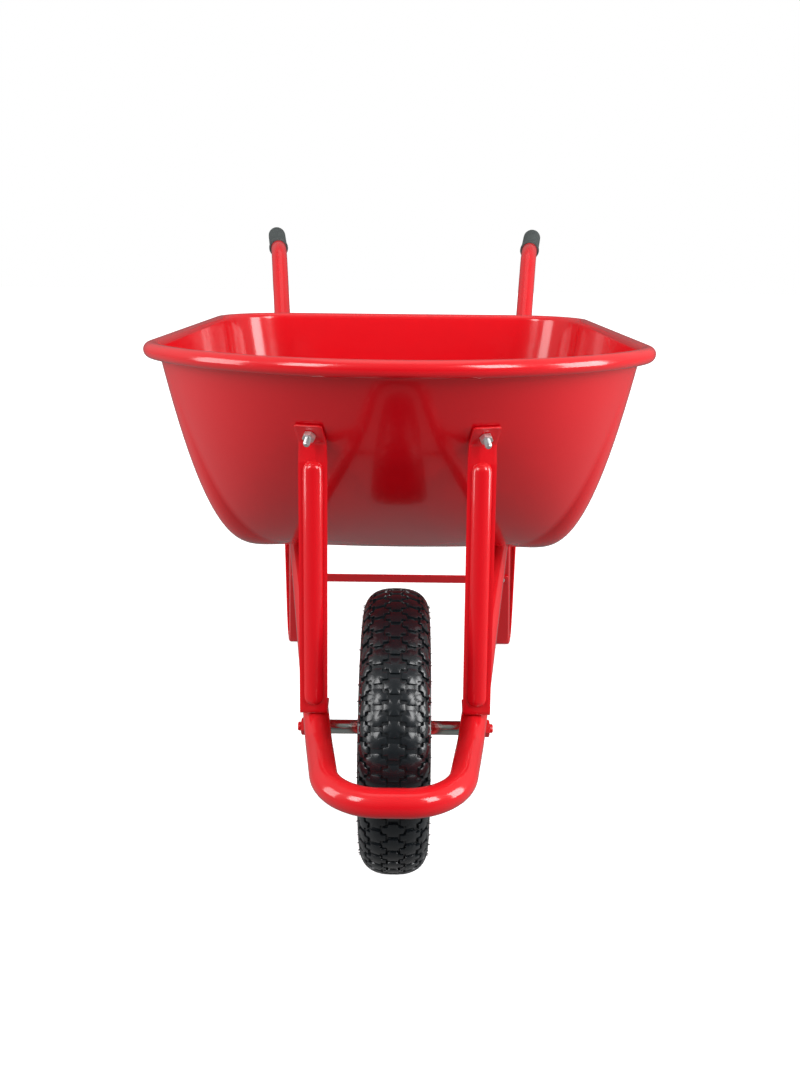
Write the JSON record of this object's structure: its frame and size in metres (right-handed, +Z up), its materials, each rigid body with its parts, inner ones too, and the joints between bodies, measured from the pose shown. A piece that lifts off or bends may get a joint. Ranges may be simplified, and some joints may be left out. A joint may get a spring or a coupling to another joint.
{
  "type": "wheelbarrow",
  "caption": "Wheelbarrow with a deep round-nosed steel tray on a bent tube frame, bent strap legs, upright ribbed front braces and a small pneumatic wheel.",
  "frame": {"origin": "on the ground, under the centre of the overall box", "axes": "+Z up; the wheel and nose point along -Y, the handles along +Y; +X is the left hand of the person pushing"},
  "size_m": [0.648, 1.378, 0.7997],
  "materials": {
    "frame_paint": "gloss",
    "tray_paint": "gloss",
    "strut_paint": "gloss",
    "rim_paint": "gloss",
    "axle_paint": "gloss",
    "grip_rubber": "satin",
    "tyre": "satin",
    "tube_rubber": "matte",
    "cap_plastic": "matte",
    "spacer_zinc": "satin",
    "bearing_steel": "satin",
    "zinc": "satin"
  },
  "bodies": {
    "barrow": {"frame_tube": "frame_paint", "tray": "tray_paint", "brace_left": "strut_paint", "brace_right": "strut_paint", "leg_left": "strut_paint", "leg_right": "strut_paint", "leg_crossbar": "strut_paint", "grip_left": "grip_rubber", "grip_right": "grip_rubber", "axle": "axle_paint", "axle_bracket_left": "strut_paint", "axle_bracket_right": "strut_paint", "axle_nut_left": "axle_paint", "axle_nut_right": "axle_paint", "axle_spacer_left": "spacer_zinc", "axle_spacer_right": "spacer_zinc", "axle_washer_left": "zinc", "axle_washer_right": "zinc", "brace_bolt_left": "zinc", "brace_bolt_right": "zinc", "brace_nut_left": "zinc", "brace_nut_right": "zinc", "floor_bolt_left": "zinc", "floor_bolt_right": "zinc", "floor_nut_left": "zinc", "floor_nut_right": "zinc", "leg_front_bolt_left": "zinc", "leg_front_bolt_right": "zinc", "leg_front_nut_left": "zinc", "leg_front_nut_right": "zinc", "leg_rear_bolt_left": "zinc", "leg_rear_bolt_right": "zinc", "leg_rear_nut_left": "zinc", "leg_rear_nut_right": "zinc", "crossbar_bolt_left": "zinc", "crossbar_bolt_right": "zinc", "crossbar_nut_left": "zinc", "crossbar_nut_right": "zinc"},
    "wheel": {"tyre": "tyre", "inner_tube": "tube_rubber", "wheel_rim_left": "rim_paint", "wheel_rim_right": "rim_paint", "hub": "rim_paint", "bearing_left": "bearing_steel", "bearing_right": "bearing_steel", "valve_stem": "tube_rubber", "valve_cap": "cap_plastic"}
  },
  "joints": [
    {"name": "wheel_spin", "type": "hinge", "parent": "barrow", "child": "wheel", "pos_m": [0, -0.459, 0.178], "axis": [1, 0, 0], "continuous": true}
  ]
}
